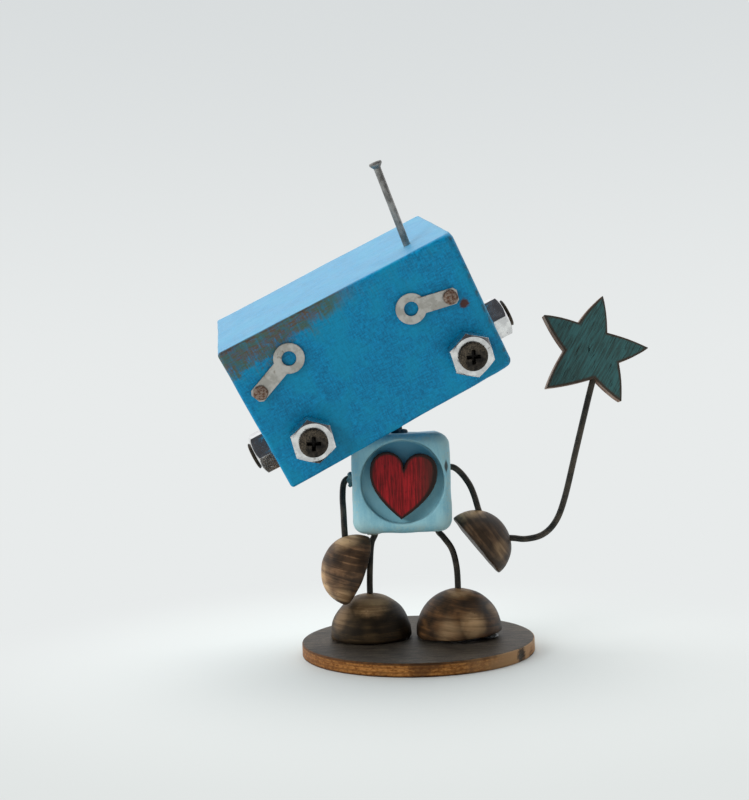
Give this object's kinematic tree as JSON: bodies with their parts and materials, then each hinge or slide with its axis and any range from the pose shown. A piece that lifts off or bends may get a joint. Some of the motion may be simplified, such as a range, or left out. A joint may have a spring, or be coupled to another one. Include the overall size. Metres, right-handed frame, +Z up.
{
  "type": "robot figurine",
  "caption": "Desk figurine of a small robot: tilted block head with nut and screw eyes, heart on its chest, wire limbs, bead hands and feet, a star wand, on a round base",
  "frame": {"origin": "middle of the round base's underside, on the surface that the figure stands on", "axes": "+Z up; the robot's chest looks along -Y; +X is to the right of someone facing it, on the wand's side"},
  "size_m": [0.1142, 0.06, 0.122],
  "materials": {
    "stained_wood": "dark brown stain on plywood, burnt at the rim, satin",
    "bead_wood": "brown stain rubbed thin over the grain, satin",
    "pale_blue_paint": "thin pale blue paint on wood, matt",
    "blue_paint": "cerulean blue paint on wood, worn along its edges, matt",
    "red_stain": "red stain on plywood with burnt edges, matt",
    "teal_stain": "dull teal stain on plywood with burnt edges, matt",
    "iron_wire": "dark annealed iron wire, satin",
    "bright_steel": "bright zinc plating",
    "dark_screw": "dark oxidised steel, satin",
    "tinned_lug": "dull tin plating",
    "rusty_tack": "steel with light rust",
    "nail_steel": "drawn wire nail, slightly tarnished"
  },
  "bodies": {
    "figure": {"base_disc": "stained_wood", "foot_left": "bead_wood", "foot_right": "bead_wood", "leg_wire_left": "iron_wire", "leg_wire_right": "iron_wire", "torso_block": "pale_blue_paint", "heart": "red_stain", "arm_wire_left": "iron_wire", "arm_wire_right": "iron_wire", "hand_left": "bead_wood", "hand_right": "bead_wood", "wand_wire": "iron_wire", "star": "teal_stain", "neck_wire": "iron_wire"},
    "head": {"head_block": "blue_paint", "antenna_nail": "nail_steel", "brow_tack_left": "rusty_tack", "brow_tack_right": "rusty_tack", "eye_nut_left": "bright_steel", "eye_nut_right": "bright_steel", "eye_screw_left": "dark_screw", "eye_screw_right": "dark_screw", "ear_nut_left": "bright_steel", "ear_nut_right": "bright_steel", "ear_screw_left": "dark_screw", "ear_screw_right": "dark_screw"},
    "brow_lug_left": {"brow_left": "tinned_lug"},
    "brow_lug_right": {"brow_right": "tinned_lug"}
  },
  "joints": [
    {"name": "head_swivel", "type": "hinge", "parent": "figure", "child": "head", "pos_m": [-0.00597, 0.00207, 0.06367], "axis": [-0.4428, -0.2981, 0.8456], "continuous": true},
    {"name": "brow_left_pivot", "type": "hinge", "parent": "head", "child": "brow_lug_left", "pos_m": [-0.03619, -0.0257, 0.06773], "axis": [0.1298, -0.9545, -0.2685], "range_deg": [-60, 232]},
    {"name": "brow_right_pivot", "type": "hinge", "parent": "head", "child": "brow_lug_right", "pos_m": [0.00938, -0.02547, 0.08891], "axis": [0.1298, -0.9545, -0.2685], "range_deg": [-222, 51]}
  ]
}
